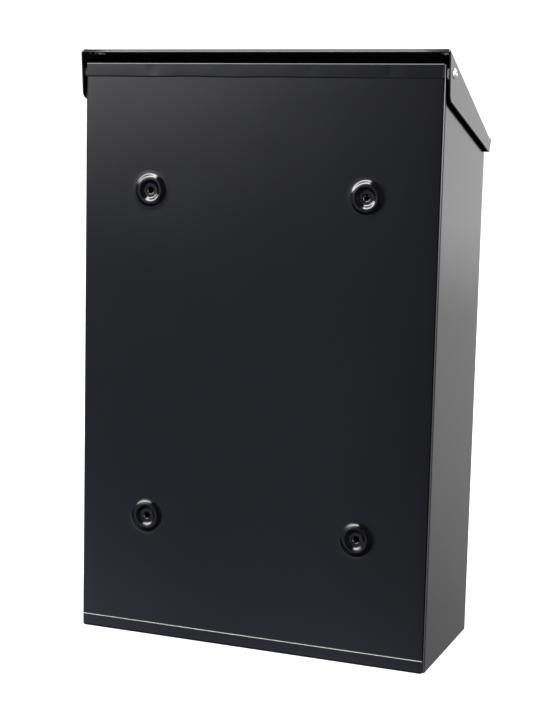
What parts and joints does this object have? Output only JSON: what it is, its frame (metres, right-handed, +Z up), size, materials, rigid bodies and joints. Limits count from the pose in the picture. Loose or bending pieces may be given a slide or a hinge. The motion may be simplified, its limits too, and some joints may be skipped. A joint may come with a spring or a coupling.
{
  "type": "wall mounted mailbox",
  "caption": "Tall black sheet-steel wall mailbox: sloped pivoting lid over a letter slot, inset lockable side-hinged door, and raised rings around the wall holes in its back.",
  "frame": {"origin": "centre of the four wall holes, on the outer face of the back panel", "axes": "+Y points out of the back panel towards the wall, +Z up along the box's height, +X to the right as seen by a person facing the door"},
  "size_m": [0.2734, 0.1204, 0.4218],
  "materials": {
    "black_paint": "black powder coat, satin, very fine orange peel, on 1 mm folded steel sheet",
    "rivet_aluminium": "bright drawn aluminium, lightly scuffed",
    "zinc_steel": "zinc-plated steel, pale blue-grey passivation",
    "lock_chrome": "bright nickel and chrome plating on a die-cast lock",
    "plug_nickel": "nickel-plated plug face, fine circular turning marks",
    "black_rubber": "matt black rubber",
    "white_nylon": "natural nylon, off-white, matt"
  },
  "bodies": {
    "root": {"body_shell": "black_paint", "bottom_pan": "black_paint", "front_rail": "black_paint", "strike_bracket": "black_paint", "door_buffers": "black_rubber", "left_rivet": "rivet_aluminium", "right_rivet": "rivet_aluminium", "left_mandrel": "zinc_steel", "right_mandrel": "zinc_steel", "left_spacer": "white_nylon", "right_spacer": "white_nylon", "left_back_washer": "zinc_steel", "right_back_washer": "zinc_steel", "upper_hinge_pin": "zinc_steel", "lower_hinge_pin": "zinc_steel"},
    "lid": {"lid": "black_paint", "lid_buffers": "black_rubber"},
    "door": {"door_panel": "black_paint", "upper_bush": "white_nylon", "lower_bush": "white_nylon", "lock_body": "lock_chrome", "lock_gasket": "black_rubber", "lock_nut": "zinc_steel"},
    "lock": {"lock_plug": "plug_nickel", "lock_cam": "zinc_steel", "cam_washer": "zinc_steel", "cam_screw": "zinc_steel"}
  },
  "joints": [
    {"name": "lid_pivot", "type": "hinge", "parent": "root", "child": "lid", "pos_m": [0, -0.0096, 0.1999], "axis": [-1, 0, 0], "range_deg": [0, 26]},
    {"name": "door_hinge", "type": "hinge", "parent": "root", "child": "door", "pos_m": [-0.1095, -0.107, -0.0405], "axis": [0, 0, -1], "range_deg": [0, 95]},
    {"name": "lock_turn", "type": "hinge", "parent": "door", "child": "lock", "pos_m": [0.0935, -0.104, 0.0335], "axis": [0, -1, 0], "range_deg": [0, 90]}
  ]
}
